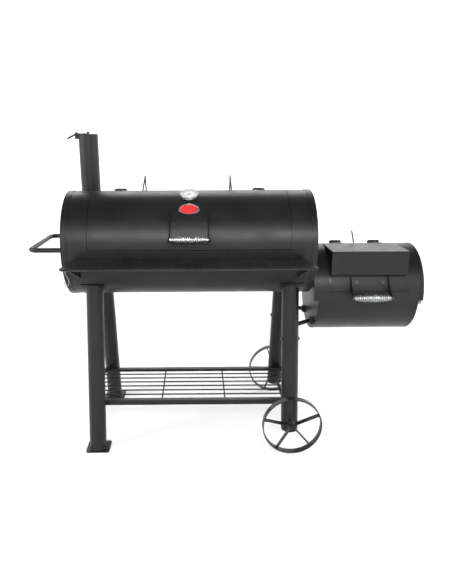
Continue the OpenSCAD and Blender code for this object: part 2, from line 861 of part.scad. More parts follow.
// A flat-topped box on the door: top, front and two sides, open underneath.
module door_hood() {
    t = 2.5;
    x0 = door_x - door_half + 0.5;
    x1 = door_x + door_half - 6;
    color("#26272a") home() difference() {
        translate([x0, hood_front, firebox_z + 102.5])
            cube([x1 - x0, -hood_front, hood_top - firebox_z - 102.5]);
        translate([x0 + t, hood_front + t, firebox_z + 90])
            cube([x1 - x0 - 2 * t, -hood_front + 10, hood_top - firebox_z - 90 - t]);
        cylinder_x(upper_r + 0.05, x0 - 1, x1 + 1, 0, firebox_z);
    }
}

// ---- Ash drawer and air shutter ----

module ash_drawer() {
    t = 2;
    x0 = firebox_x0 + 16;
    color("#3a3b3d") home() {
        difference() {
            translate([x0, -drawer_half, drawer_z])
                cube([firebox_x1 + 1 - x0, 2 * drawer_half, drawer_h]);
            translate([x0 + t, -drawer_half + t, drawer_z + t])
                cube([firebox_x1 + 1 - x0 - t + 5, 2 * drawer_half - 2 * t, drawer_h]);
        }
        along_x(firebox_x1 + 0.6, firebox_x1 + 3.6) intersection() {
            translate([-drawer_half - 8, drawer_z - 6]) square([2 * drawer_half + 16, drawer_h + 8]);
            translate([0, firebox_z]) circle(r = firebox_r - 2);
        }
    }
}

module ash_drawer_handle() {
    x = firebox_x1 + 3.7;
    z = drawer_z + drawer_h / 2;
    half = 45;
    r = 5;
    reach = ash_handle_x - r;
    color("#c8cacd") home() difference() {
        bent_bar([[x, -half, z], [reach, -half, z], [reach, half, z], [x, half, z]], r);
        translate([x - 10, -100, z - 20]) cube([10, 200, 40]);
    }
}

// A disc with holes that turns over the holes in the end plate, with a lever to the front.
module air_shutter() {
    x0 = firebox_x1 + 0.5;
    t = 3;
    lever = [shutter_y - 90, shutter_z + 35];
    color("#1e1f21") home() difference() {
        union() {
            cylinder_x(shutter_r, x0, x0 + t, shutter_y, shutter_z);
            along_x(x0, x0 + t) polygon([[shutter_y - 20, shutter_z - 20], lever + [-4, -7],
                lever + [2, 8], [shutter_y + 8, shutter_z + 30]]);
            cylinder_x(9, x0, x0 + 9, shutter_y, shutter_z);
        }
        for (i = [0 : vent_holes - 1]) translate([x0 - 1, shutter_y, shutter_z])
            rotate([i * 360 / vent_holes, 0, 0]) translate([0, 0, 36]) rotate([0, 90, 0])
                cylinder(h = 10, r = 15);
    }
}

module air_shutter_knob() {
    x0 = firebox_x1 + 3.6;
    color("#77797c") home()
        cylinder_x(8, x0, x0 + 18, shutter_y - 86, shutter_z + 35);
}

// ---- Fasteners on the frame ----

module bolts() {
    color("#141415") home() {
        // Saddle plates: one bolt head on each side of every leg.
        for (x = [-leg_left_x, leg_right_x], dx = [-46, 46], side = [0, 1]) mirror([0, side, 0])
            on_shell(barrel_r + 4.05, saddle_angle + 8, x + dx, barrel_z) bolt_head(5, 4);
        // Shelf brackets' feet.
        for (side = [-1, 1], a = [-30, -21, -14])
            on_shell(barrel_r + 3.05, a, side * (shelf_bracket_x + 11), barrel_z) bolt_head(5, 4);
        // Through bolts in the wheel legs.
        for (side = [-1, 1], dx = [-1, 1]) {
            p = leg_axis(leg_right_x, side, 514);
            translate([p.x + dx * (leg_r + 0.1), p.y, p.z]) rotate([0, dx * 90, 0]) bolt_head(7, 6);
        }
    }
}

barrel_shell();
end_cap_left();
end_cap_right();
stack_pipe();
stack_hinge();
leg_front_left();
leg_front_right();
leg_rear_left();
leg_rear_right();
saddle_plates();
foot_plates();
axle();
rack_rails();
rack_end_bars();
rack_wires();
front_shelf();
shelf_brackets();
tool_hooks();
tow_handle();
lid_hinge_brackets();
cooking_grates();
grate_ledges();
charcoal_grate();
firebox_lower_shell();
firebox_upper_shell();
firebox_cap_left();
firebox_cap_right();
firebox_duct();
firebox_braces();
firebox_grate();
door_hinge_brackets();
bolts();
lid_shell();
lid_hinge_straps();
lid_stops();
lid_handle_bracket();
lid_handle_rod();
lid_handle_coil();
thermometer_case();
thermometer_dial();
thermometer_lens();
lid_badge();
lid_bolts();
thermometer_needle();
stack_cap();
stack_cap_handle();
door_shell();
door_hinge_straps();
door_stop();
door_hood();
door_handle_bracket();
door_handle_rod();
door_handle_coil();
wheel_front();
wheel_rear();
ash_drawer();
ash_drawer_handle();
air_shutter();
air_shutter_knob();
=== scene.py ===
import json
import math

import bmesh
import bpy
from mathutils import Matrix, Vector, noise


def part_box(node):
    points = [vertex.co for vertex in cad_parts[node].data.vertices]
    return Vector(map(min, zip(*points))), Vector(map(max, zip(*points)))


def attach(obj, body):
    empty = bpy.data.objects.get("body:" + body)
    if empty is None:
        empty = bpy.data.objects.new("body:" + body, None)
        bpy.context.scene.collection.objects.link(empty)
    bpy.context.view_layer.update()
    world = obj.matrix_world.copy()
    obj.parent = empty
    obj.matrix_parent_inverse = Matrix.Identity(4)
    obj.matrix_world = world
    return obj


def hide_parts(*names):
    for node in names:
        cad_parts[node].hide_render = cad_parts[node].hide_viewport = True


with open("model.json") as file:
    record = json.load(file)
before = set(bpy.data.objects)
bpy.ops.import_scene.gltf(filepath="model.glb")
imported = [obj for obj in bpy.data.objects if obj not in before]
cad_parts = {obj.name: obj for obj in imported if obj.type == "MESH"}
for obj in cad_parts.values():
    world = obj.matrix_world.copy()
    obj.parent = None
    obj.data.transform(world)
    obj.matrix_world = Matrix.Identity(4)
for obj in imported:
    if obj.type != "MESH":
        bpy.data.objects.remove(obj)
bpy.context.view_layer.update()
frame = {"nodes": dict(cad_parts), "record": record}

NODES = frame["nodes"]
RECORD = frame["record"]


# ---- Places read from the CAD frame ----

def middle(node):
    lo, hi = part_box(node)
    return [(lo[i] + hi[i]) / 2 for i in range(3)]


BARREL_LO, BARREL_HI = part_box("barrel_shell")
CX, CY, BZ = middle("barrel_shell")
BARREL_R = (BARREL_HI[2] - BARREL_LO[2]) / 2
FZ = middle("firebox_cap_left")[2]
UPPER_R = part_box("firebox_upper_shell")[1][2] - FZ
DOOR_X = middle("door_shell")[0]


def on_shell(radius, angle, x, z_axis):
    """Local +Z points out of a cylinder along X. Angle 0 is the front line and 90 the top."""
    a = math.radians(angle)
    out = Vector((0, -math.cos(a), math.sin(a)))
    back = Vector((0, math.sin(a), math.cos(a)))
    m = Matrix.Identity(4)
    for i in range(3):
        m[i][0] = (1, 0, 0)[i]
        m[i][1] = back[i]
        m[i][2] = out[i]
    m.translation = Vector((x, CY, z_axis)) + out * radius
    return m


def towards(origin, direction):
    """Local +Z along a direction, from a point."""
    m = Vector(direction).to_track_quat("Z", "Y").to_matrix().to_4x4()
    m.translation = Vector(origin)
    return m


# ---- Materials ----

def tree(name):
    m = bpy.data.materials.new(name)
    m.use_nodes = True
    nt = m.node_tree
    bsdf = next(n for n in nt.nodes if n.type == "BSDF_PRINCIPLED")
    return m, nt, bsdf


def noise_node(nt, scale, detail=4.0, stretch=None):
    coords = nt.nodes.new("ShaderNodeTexCoord")
    tex = nt.nodes.new("ShaderNodeTexNoise")
    tex.inputs["Scale"].default_value = scale
    tex.inputs["Detail"].default_value = detail
    if stretch:
        mapping = nt.nodes.new("ShaderNodeMapping")
        mapping.inputs["Scale"].default_value = stretch
        nt.links.new(coords.outputs["Object"], mapping.inputs["Vector"])
        nt.links.new(mapping.outputs["Vector"], tex.inputs["Vector"])
    else:
        nt.links.new(coords.outputs["Object"], tex.inputs["Vector"])
    return tex


def ramp(nt, source, stops):
    node = nt.nodes.new("ShaderNodeValToRGB")
    elements = node.color_ramp.elements
    for i, (pos, col) in enumerate(stops):
        e = elements[i] if i < 2 else elements.new(pos)
        e.position = pos
        e.color = (*col, 1) if len(col) == 3 else col
    nt.links.new(source, node.inputs["Fac"])
    return node.outputs["Color"]


def remap(nt, source, low, high, lo_in=0.3, hi_in=0.7):
    node = nt.nodes.new("ShaderNodeMapRange")
    node.inputs["From Min"].default_value = lo_in
    node.inputs["From Max"].default_value = hi_in
    node.inputs["To Min"].default_value = low
    node.inputs["To Max"].default_value = high
    nt.links.new(source, node.inputs["Value"])
    return node.outputs["Result"]


def bump(nt, bsdf, source, strength, distance, before=None):
    node = nt.nodes.new("ShaderNodeBump")
    node.inputs["Strength"].default_value = strength
    node.inputs["Distance"].default_value = distance
    nt.links.new(source, node.inputs["Height"])
    if before is not None:
        nt.links.new(before, node.inputs["Normal"])
    nt.links.new(node.outputs["Normal"], bsdf.inputs["Normal"])
    return node.outputs["Normal"]


def paint(name, dark, light, rough, peel=0.12, wave=0.1):
    """Powder coat: a cloudy tone, uneven gloss, orange peel and the slight waves of rolled sheet."""
    m, nt, bsdf = tree(name)
    clouds = noise_node(nt, 5.0, 6.0)
    col = ramp(nt, clouds.outputs["Fac"], [(0.35, dark), (0.68, light)])
    nt.links.new(col, bsdf.inputs["Base Color"])
    gloss = noise_node(nt, 14.0, 8.0)
    nt.links.new(remap(nt, gloss.outputs["Fac"], rough - 0.045, rough + 0.06),
                 bsdf.inputs["Roughness"])
    waves = noise_node(nt, 9.0, 2.0)
    normal = bump(nt, bsdf, waves.outputs["Fac"], wave, 0.004)
    grain = noise_node(nt, 620.0, 3.0)
    bump(nt, bsdf, grain.outputs["Fac"], peel, 0.0004, normal)
    bsdf.inputs["Specular IOR Level"].default_value = 0.28
    return m


def metal(name, dark, light, rough, stretch=(1, 1, 1), scale=60.0, spread=0.06, grain=0.05):
    m, nt, bsdf = tree(name)
    bsdf.inputs["Metallic"].default_value = 1.0
    tone = noise_node(nt, scale, 6.0, stretch)
    nt.links.new(ramp(nt, tone.outputs["Fac"], [(0.3, dark), (0.7, light)]),
                 bsdf.inputs["Base Color"])
    nt.links.new(remap(nt, tone.outputs["Fac"], rough - spread, rough + spread),
                 bsdf.inputs["Roughness"])
    fine = noise_node(nt, scale * 6, 3.0, stretch)
    bump(nt, bsdf, fine.outputs["Fac"], grain, 0.0005)
    return m


def plain(name, dark, light, rough, scale=30.0, coat=0.0, grain=0.08, depth=0.0006):
    m, nt, bsdf = tree(name)
    tone = noise_node(nt, scale, 5.0)
    nt.links.new(ramp(nt, tone.outputs["Fac"], [(0.3, dark), (0.7, light)]),
                 bsdf.inputs["Base Color"])
    nt.links.new(remap(nt, tone.outputs["Fac"], rough - 0.05, rough + 0.05),
                 bsdf.inputs["Roughness"])
    fine = noise_node(nt, scale * 8, 4.0)
    bump(nt, bsdf, fine.outputs["Fac"], grain, depth)
    bsdf.inputs["Coat Weight"].default_value = coat
    return m


def glass(name):
    m, nt, bsdf = tree(name)
    tone = noise_node(nt, 40.0, 3.0)
    nt.links.new(remap(nt, tone.outputs["Fac"], 0.02, 0.07), bsdf.inputs["Roughness"])
    bsdf.inputs["Base Color"].default_value = (0.96, 0.98, 1, 1)
    bsdf.inputs["Alpha"].default_value = 0.08
    bsdf.inputs["IOR"].default_value = 1.45
    return m


BODY_PAINT = paint("paint_barrel", (0.0055, 0.0056, 0.0059), (0.009, 0.0092, 0.0096), 0.37)
FRAME_PAINT = paint("paint_stand", (0.0052, 0.0053, 0.0056), (0.0092, 0.0094, 0.0098), 0.34,
                    0.16, 0.06)
FIRE_PAINT = paint("paint_firebox", (0.006, 0.0061, 0.0064), (0.0102, 0.0104, 0.0108), 0.35,
                   0.14, 0.12)
TREAD_PAINT = paint("paint_tread", (0.0065, 0.0066, 0.0069), (0.0112, 0.0114, 0.0118), 0.33,
                    0.18, 0.05)
WELD_PAINT = plain("paint_weld", (0.009, 0.009, 0.0095), (0.017, 0.017, 0.018), 0.42, 120.0, 0, 0.3)
SLOTS = {
    "black_paint": BODY_PAINT,
    "grate_iron": plain("iron_seasoned", (0.02, 0.018, 0.017), (0.05, 0.043, 0.038), 0.58, 90.0, 0,
                        0.45),
    "chrome_wire": metal("chrome_bright", (0.5, 0.51, 0.52), (0.66, 0.67, 0.68), 0.26, (1, 1, 1),
                         50.0, 0.04, 0.02),
    "dark_hardware": plain("black_oxide", (0.008, 0.008, 0.0085), (0.02, 0.02, 0.021), 0.32, 150.0),
    "bare_steel": metal("steel_dull", (0.2, 0.2, 0.205), (0.38, 0.38, 0.39), 0.36, (1, 1, 8), 90.0),
    "gauge_steel": metal("steel_gauge", (0.5, 0.51, 0.52), (0.68, 0.69, 0.7), 0.24, (1, 14, 1), 80.0),
    "dial_white": plain("dial_print", (0.74, 0.74, 0.72), (0.82, 0.82, 0.8), 0.45, 60.0, 0.2, 0.02),
    "gauge_glass": glass("glass_gauge"),
    "needle_black": plain("needle_matt", (0.01, 0.01, 0.01), (0.02, 0.02, 0.02), 0.5, 80.0),
    "badge_enamel": plain("enamel_red", (0.5, 0.02, 0.022), (0.62, 0.035, 0.035), 0.22, 60.0, 0.6,
                          0.03),
    "drawer_steel": plain("drawer_coat", (0.018, 0.018, 0.019), (0.035, 0.034, 0.034), 0.5, 70.0),
}
RIM_PALE = metal("badge_rim", (0.6, 0.6, 0.6), (0.78, 0.78, 0.78), 0.22, (1, 1, 1), 70.0)
SLOT_OF = {s["node"]: s["material_slot"] for s in RECORD["subparts"]}


def node_material(name):
    """The painted parts share one slot, and differ a little in gloss from group to group."""
    if name == "axle":
        return FRAME_PAINT
    if SLOT_OF[name] != "black_paint":
        return SLOTS[SLOT_OF[name]]
    if name.startswith(("firebox", "door", "ash", "air")):
        return FIRE_PAINT
    if name.startswith(("leg", "rack", "wheel", "foot", "saddle", "tow", "stack")):
        return FRAME_PAINT
    return BODY_PAINT


for node_name, node in NODES.items():
    node.data.materials.clear()
    node.data.materials.append(node_material(node_name))


def soften(name, width, angle=35):
    """Pressed and cut edges are slightly round."""
    mod = NODES[name].modifiers.new("edges", "BEVEL")
    mod.width = width
    mod.segments = 2
    mod.limit_method = "ANGLE"
    mod.angle_limit = math.radians(angle)
    mod.harden_normals = True


# ---- Making pieces ----

def piece(name, mesh, material, body, replaced=(), smooth=True):
    obj = bpy.data.objects.new(name, mesh)
    bpy.context.scene.collection.objects.link(obj)
    for m in (material if isinstance(material, (list, tuple)) else [material]):
        mesh.materials.append(m)
    for p in mesh.polygons:
        p.use_smooth = smooth
    if smooth:
        mesh.set_sharp_from_angle(angle=math.radians(38))
    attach(obj, body)
    if replaced:
        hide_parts(*replaced)
    return obj


def finish_mesh(name, bm):
    bmesh.ops.recalc_face_normals(bm, faces=bm.faces)
    mesh = bpy.data.meshes.new(name)
    bm.to_mesh(mesh)
    bm.free()
    return mesh


def sweep(bm, points, radius, sides=12, closed=False, ripple=0.0):
    """A round wire along points. radius is a number or one for each point."""
    pts = [Vector(p) for p in points]
    n = len(pts)
    radii = radius if isinstance(radius, list) else [radius] * n
    rings = []
    axis = None
    for i, p in enumerate(pts):
        before = pts[i - 1] if i or closed else p
        after = pts[(i + 1) % n] if i < n - 1 or closed else p
        t = (after - before).normalized()
        if axis is None:
            axis = t.orthogonal().normalized()
        axis = (axis - t * axis.dot(t)).normalized()
        side = t.cross(axis)
        r = radii[i] * (1 + ripple * noise.noise(p * 700))
        rings.append([bm.verts.new(p + (axis * math.cos(k) + side * math.sin(k)) * r)
                      for k in (2 * math.pi * j / sides for j in range(sides))])
    for i in range(n if closed else n - 1):
        a, b = rings[i], rings[(i + 1) % n]
        shift = 0
        if closed and i == n - 1:
            shift = min(range(sides), key=lambda s: (a[0].co - b[s].co).length)
        for j in range(sides):
            bm.faces.new((a[j], a[(j + 1) % sides], b[(j + 1 + shift) % sides],
                          b[(j + shift) % sides]))
    if not closed:
        bm.faces.new(rings[0])
        bm.faces.new(rings[-1])


def lathe(bm, profile, place, steps=40, sides=None):
    """Turns a profile of (radius, height) about local Z. sides makes it a polygon, as for a nut."""
    rings = []
    for r, h in profile:
        ring = []
        if r < 1e-7:
            ring = [bm.verts.new(place @ Vector((0, 0, h)))]
        else:
            for k in range(sides or steps):
                a = 2 * math.pi * k / (sides or steps)
                ring.append(bm.verts.new(place @ Vector((r * math.cos(a), r * math.sin(a), h))))
        rings.append(ring)
    for a, b in zip(rings, rings[1:]):
        if len(a) == 1 and len(b) == 1:
            continue
        n = max(len(a), len(b))
        for j in range(n):
            k = (j + 1) % n
            if len(a) == 1:
                bm.faces.new((a[0], b[j], b[k]))
            elif len(b) == 1:
                bm.faces.new((a[j], a[k], b[0]))
            else:
                bm.faces.new((a[j], a[k], b[k], b[j]))
    for ring in (rings[0], rings[-1]):
        if len(ring) > 2:
            bm.faces.new(ring)


def rounded(points, radius, steps=7):
    """The points with each inner corner turned into an arc."""
    pts = [Vector(p) for p in points]
    out = [pts[0]]
    for a, b, c in zip(pts, pts[1:], pts[2:]):
        u, v = (a - b), (c - b)
        cut = min(radius, u.length * 0.45, v.length * 0.45)
        p, q = b + u.normalized() * cut, b + v.normalized() * cut
        for k in range(steps + 1):
            t = k / steps
            out.append(p * (1 - t) ** 2 + b * 2 * t * (1 - t) + q * t * t)
    out.append(pts[-1])
    return out


def hex_bolt(bm, place, r, washer=True):
    """A washer, a chamfered hexagon head and its slightly domed top."""
    if washer:
        lathe(bm, [(r * 1.45, 0), (r * 1.5, 0.0003), (r * 1.45, 0.0011), (r * 0.9, 0.0011)],
              place, 28)
    h = 0.001 if washer else 0
    lathe(bm, [(r * 1.08, h), (r * 1.08, h + r * 0.55), (r * 0.94, h + r * 0.68), (0, h + r * 0.72)],
          place, sides=6)


# ---- Grips: chrome wire wound round each rod, with acorn nuts ----

HANDLE = {
    "lid": ("lid_handle_coil", "lid_handle_rod", "lid", CX, BZ),
    "door": ("door_handle_coil", "door_handle_rod", "firebox_door", DOOR_X, FZ),
}
for handle, (coil, rod, body, hx, hz) in HANDLE.items():
    lo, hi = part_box(coil)
    _, y, z = middle(coil)
    big = (hi[2] - lo[2]) / 2
    small = big * 12 / 19
    half = (hi[0] - lo[0]) / 2 - 0.0022
    wire = 0.0021
    turns, per = 18, 24
    path = []
    for i in range(turns * per + 1):
        u = 2 * i / (turns * per) - 1
        a = 2 * math.pi * i / per
        r = small + (big - small) * (1 - u * u) - wire
        path.append((hx + u * half, y + r * math.cos(a), z + r * math.sin(a)))
    bm = bmesh.new()
    sweep(bm, path, wire, 9)
    piece(handle + "_grip_spring", finish_mesh(handle + "_grip_spring", bm), SLOTS["chrome_wire"],
          body, (coil,))
    lo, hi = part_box(rod)
    bm = bmesh.new()
    sweep(bm, [(lo[0] + 0.003, y, z), (hi[0] - 0.003, y, z)], 0.0049, 20)
    piece(handle + "_grip_rod", finish_mesh(handle + "_grip_rod", bm), SLOTS["chrome_wire"], body,
          (rod,))
    bm = bmesh.new()
    for side in (-1, 1):
        x_in = hx + side * 0.0872
        lathe(bm, [(0.0098, 0), (0.01, 0.0004), (0.0098, 0.0012)],
              towards((x_in, y, z), (side, 0, 0)), 28)
        lathe(bm, [(0.0084, 0.0012), (0.0086, 0.0046), (0.0076, 0.0054), (0.0066, 0.0058),
                   (0.0056, 0.0078), (0.0032, 0.0087), (0, 0.0089)],
              towards((x_in, y, z), (side, 0, 0)), sides=6)
    piece(handle + "_grip_nuts", finish_mesh(handle + "_grip_nuts", bm), SLOTS["dark_hardware"],
          body)

# The rain cap's handle: a rod with black wire wound tightly round it.
lo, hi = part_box("stack_cap_handle")
grip_y = (lo[1] + hi[1]) / 2
start = Vector((hi[0] - 0.0005, grip_y, hi[2] - 0.0035))
end = Vector((lo[0] + 0.0045, grip_y, lo[2] + 0.0048))
along = (end - start).normalized()
place = towards(start, along)
length = (end - start).length
bm = bmesh.new()
sweep(bm, [start, end], 0.0033, 14)
turns, per = 13, 18
path = []
for i in range(turns * per + 1):
    a = 2 * math.pi * i / per
    path.append(place @ Vector((0.0036 * math.cos(a), 0.0036 * math.sin(a),
                                0.004 + (length - 0.004) * i / (turns * per))))
sweep(bm, path, 0.0014, 8)
piece("rain_cap_grip", finish_mesh("rain_cap_grip", bm), SLOTS["dark_hardware"], "rain_cap",
      ("stack_cap_handle",))


# ---- Front shelf: tread plate with raised diamonds and a rolled front edge ----

lo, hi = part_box("front_shelf")
SHELF_Z = hi[2]
HEM = 0.005
half_front = 0.527
half_back = 0.505
back_y = hi[1]
front_y = lo[1] + HEM
PLATE = 0.0028
bm = bmesh.new()
cut = 0.012
outline = [(-half_back, back_y), (half_back, back_y), (half_front, front_y + cut),
           (half_front - cut, front_y), (-half_front + cut, front_y), (-half_front, front_y + cut)]
top = [bm.verts.new((CX + x, y, SHELF_Z - 0.0002)) for x, y in outline]
under = [bm.verts.new((CX + x, y, SHELF_Z - PLATE)) for x, y in outline]
bm.faces.new(top)
bm.faces.new(under[::-1])
for i in range(len(top)):
    j = (i + 1) % len(top)
    bm.faces.new((top[i], under[i], under[j], top[j]))
piece("shelf_plate", finish_mesh("shelf_plate", bm), TREAD_PAINT, "frame",
      ("front_shelf",), smooth=False)
bm = bmesh.new()
hem = [(-half_back, back_y), (-half_front, front_y + 0.012), (-half_front + 0.012, front_y),
       (half_front - 0.012, front_y), (half_front, front_y + 0.012), (half_back, back_y)]
sweep(bm, rounded([(CX + x, y, SHELF_Z - HEM) for x, y in hem], 0.02), 0.0046, 12)
piece("shelf_rolled_edge", finish_mesh("shelf_rolled_edge", bm), TREAD_PAINT, "frame")
bm = bmesh.new()
ROWS, PITCH = 7, 0.0262
for row in range(ROWS):
    y = front_y + 0.021 + row * (back_y - front_y - 0.036) / (ROWS - 1)
    for k in range(-38, 39):
        if (k + row) % 2:
            continue
        x = k * PITCH / 2
        if abs(x) > half_back - 0.016:
            continue
        lx, ly, rise = 0.0105, 0.0052, 0.0016
        base = [bm.verts.new((CX + x + dx, y + dy, SHELF_Z - 0.0006)) for dx, dy in
                ((-lx, 0), (0, -ly), (lx, 0), (0, ly))]
        crest = [bm.verts.new((CX + x + dx * 0.45, y + dy * 0.4, SHELF_Z - 0.0002 + rise))
                 for dx, dy in ((-lx, 0), (0, -ly), (lx, 0), (0, ly))]
        bm.faces.new(base[::-1])
        bm.faces.new(crest)
        for i in range(4):
            j = (i + 1) % 4
            bm.faces.new((base[i], base[j], crest[j], crest[i]))
piece("shelf_tread", finish_mesh("shelf_tread", bm), TREAD_PAINT, "frame",
      smooth=False)

# ---- Tool hook: smooth bent wire ----

lo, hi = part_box("tool_hooks")
bm = bmesh.new()
hook_y = (lo[1] + hi[1]) / 2
x = hi[0]
z = hi[2] - 0.002
path = rounded([(x, hook_y, z), (x - 0.048, hook_y, z - 0.013),
                (x - 0.028, hook_y, z - 0.054), (x - 0.03, hook_y, z - 0.076),
                (x - 0.044, hook_y, z - 0.08), (x - 0.051, hook_y, z - 0.06)], 0.016, 8)
sweep(bm, path, 0.0017, 10)
piece("tool_hook_wires", finish_mesh("tool_hook_wires", bm), SLOTS["bare_steel"], "frame",
      ("tool_hooks",))

# ---- Thermometer ----

GAUGE_A = 66.8
gauge_r = (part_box("thermometer_case")[1][0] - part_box("thermometer_case")[0][0]) / 2
gauge = on_shell(BARREL_R, GAUGE_A, CX, BZ)
bm = bmesh.new()
lathe(bm, [(0, 0.0091), (gauge_r - 0.0044, 0.0091), (gauge_r - 0.0044, 0.0104),
           (gauge_r - 0.005, 0.0106), (0, 0.0106)], gauge, 64)
piece("gauge_dial", finish_mesh("gauge_dial", bm), SLOTS["dial_white"], "lid",
      ("thermometer_dial",))
bm = bmesh.new()
ring_r, ring_w = gauge_r - 0.0024, 0.0027
profile = [(ring_r + ring_w * math.cos(t), 0.0165 + 0.0016 * math.sin(t))
           for t in (math.pi * k / 8 for k in range(17))]
rings = []
for r, h in profile[:-1]:
    rings.append([bm.verts.new(gauge @ Vector((r * math.cos(a), r * math.sin(a), h)))
                  for a in (2 * math.pi * k / 72 for k in range(72))])
for i in range(len(rings)):
    a, b = rings[i], rings[(i + 1) % len(rings)]
    for j in range(72):
        bm.faces.new((a[j], a[(j + 1) % 72], b[(j + 1) % 72], b[j]))
piece("gauge_bezel", finish_mesh("gauge_bezel", bm), SLOTS["gauge_steel"], "lid")
bm = bmesh.new()


def tick(inner, outer, width, degrees):
    a = math.radians(degrees)
    turn = Matrix.Rotation(a, 4, "Z")
    corners = [(inner, -width), (outer, -width), (outer, width), (inner, width)]
    lower = [bm.verts.new(gauge @ turn @ Vector((r, w, 0.0105))) for r, w in corners]
    upper = [bm.verts.new(gauge @ turn @ Vector((r, w, 0.0109))) for r, w in corners]
    bm.faces.new(lower[::-1])
    bm.faces.new(upper)
    for i in range(4):
        j = (i + 1) % 4
        bm.faces.new((lower[i], lower[j], upper[j], upper[i]))


for k in range(41):
    deg = 215 - k * 6.25
    major = k % 5 == 0
    tick(0.0262 if major else 0.0292, 0.0336, 0.00045 if major else 0.00022, deg)
piece("gauge_ticks", finish_mesh("gauge_ticks", bm), SLOTS["needle_black"], "lid",
      smooth=False)

# ---- Badge: a plain enamelled oval with a pale rim, curved to the lid ----

BADGE_A, HALF_W, HALF_H = 46.3, 0.0455, 0.0292


def badge_point(u, v, lift):
    a = BADGE_A + math.degrees(v / BARREL_R)
    return on_shell(BARREL_R + lift, a, CX + u, BZ).translation


def oval(name, scale_list, material, replaced=()):
    b = bmesh.new()
    rows = []
    for scale, lift in scale_list:
        if scale == 0:
            rows.append([b.verts.new(badge_point(0, 0, lift))])
            continue
        rows.append([b.verts.new(badge_point(HALF_W * scale * math.cos(t),
                                             HALF_H * scale * math.sin(t), lift))
                     for t in (2 * math.pi * k / 72 for k in range(72))])
    for a, c in zip(rows, rows[1:]):
        for j in range(72):
            k = (j + 1) % 72
            if len(a) == 1:
                b.faces.new((a[0], c[j], c[k]))
            elif len(c) == 1:
                b.faces.new((a[j], a[k], c[0]))
            else:
                b.faces.new((a[j], a[k], c[k], c[j]))
    piece(name, finish_mesh(name, b), material, "lid", replaced)


oval("badge_rim", [(0.86, 0.0004), (1.0, 0.0004), (1.02, 0.0012), (1.0, 0.0024), (0.93, 0.0027),
                   (0.885, 0.0024), (0.86, 0.0004)], RIM_PALE)
oval("badge_face", [(0, 0.0003), (0.5, 0.0003), (0.87, 0.0003), (0.88, 0.0017), (0.7, 0.0021),
                    (0.4, 0.0024), (0, 0.0025)], SLOTS["badge_enamel"],
     ("lid_badge",))

# ---- Bolts ----

SADDLE_A = -54.5
LEGS_X = [CX - 0.447, CX + 0.472]


def mirrored(m):
    """The same place on the back of the grill."""
    flip = Matrix.Identity(4)
    flip[1][1] = -1
    flip[1][3] = 2 * CY
    turn = Matrix.Identity(4)
    turn[1][1] = -1
    return flip @ m @ turn


bm = bmesh.new()
for x in LEGS_X:
    for dx in (-0.046, 0.046):
        m = on_shell(BARREL_R + 0.00405, SADDLE_A + 8, x + dx, BZ)
        hex_bolt(bm, m, 0.0047, False)
        hex_bolt(bm, mirrored(m), 0.0047, False)
for side in (-1, 1):
    for a in (-30, -21, -14):
        hex_bolt(bm, on_shell(BARREL_R + 0.00305, a, CX + side * 0.503, BZ), 0.0047, False)
LEAN, FOOT_Y, LEG_R = 0.187, 0.278, 0.0395


def leg_axis(x, side, z):
    return Vector((x, CY + side * (FOOT_Y - LEAN * z), z))


for side in (-1, 1):
    for dx in (-1, 1):
        p = leg_axis(LEGS_X[1], side, 0.514)
        m = towards((p.x + dx * (LEG_R + 0.0001), p.y, p.z), (dx, 0, 0))
        lathe(bm, [(0.0088, 0), (0.009, 0.0005), (0.0086, 0.0013)], m, 28)
        lathe(bm, [(0.0068, 0.0013), (0.0068, 0.0042), (0.0056, 0.0056), (0.0034, 0.006),
                   (0, 0.0061)], m, 28)
piece("frame_bolts", finish_mesh("frame_bolts", bm), SLOTS["dark_hardware"], "frame",
      ("bolts",))
bm = bmesh.new()
for dx in (-0.068, 0.068):
    hex_bolt(bm, on_shell(BARREL_R + 0.0026, 28, CX + dx, BZ), 0.0056)
piece("lid_bracket_bolts", finish_mesh("lid_bracket_bolts", bm), SLOTS["dark_hardware"], "lid",
      ("lid_bolts",))
bm = bmesh.new()
for dx in (-0.06, 0.06):
    hex_bolt(bm, on_shell(UPPER_R + 0.0026, 19, DOOR_X + dx, FZ), 0.0056)
piece("door_bracket_bolts", finish_mesh("door_bracket_bolts", bm), SLOTS["dark_hardware"],
      "firebox_door")

# ---- Weld beads ----

WHEEL_Z = middle("wheel_front")[2]
WHEEL_X = middle("wheel_front")[0]
WHEEL_R = (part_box("wheel_front")[1][0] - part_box("wheel_front")[0][0]) / 2
for wheel, body, first in (("wheel_front", "front_wheel", 95), ("wheel_rear", "rear_wheel", 106)):
    y = middle(wheel)[1]
    bm = bmesh.new()
    for i in range(5):
        a = math.radians(first + 72 * i)
        spoke = Vector((math.cos(a), 0, math.sin(a)))
        across = Vector((-math.sin(a), 0, math.cos(a)))
        for dist, r in ((WHEEL_R - 0.0062, 0.0026), (0.0158, 0.002)):
            for s in (-1, 1):
                c = Vector((WHEEL_X, y, WHEEL_Z)) + spoke * dist + across * (0.0028 * s)
                pts = [c + Vector((0, -0.011 + 0.022 * k / 8, 0)) for k in range(9)]
                sweep(bm, pts, [r * (0.6 if k in (0, 8) else 1) for k in range(9)], 8,
                      ripple=0.35)
    piece(wheel + "_welds", finish_mesh(wheel + "_welds", bm), WELD_PAINT, body)


def joint_line(origin, direction, tube_r, shell_r, upwards, steps=96):
    """Where a round tube meets a cylinder along X."""
    d = Vector(direction).normalized()
    u = d.orthogonal().normalized()
    v = d.cross(u)
    out = []
    for k in range(steps):
        a = 2 * math.pi * k / steps
        p = Vector(origin) + (u * math.cos(a) + v * math.sin(a)) * tube_r
        py, pz = p.y - CY, p.z - BZ
        qa = d.y ** 2 + d.z ** 2
        qb = 2 * (py * d.y + pz * d.z)
        qc = py * py + pz * pz - shell_r ** 2
        root = math.sqrt(max(qb * qb - 4 * qa * qc, 0))
        t = (-qb + (root if upwards else -root)) / (2 * qa)
        out.append(p + d * t)
    return out


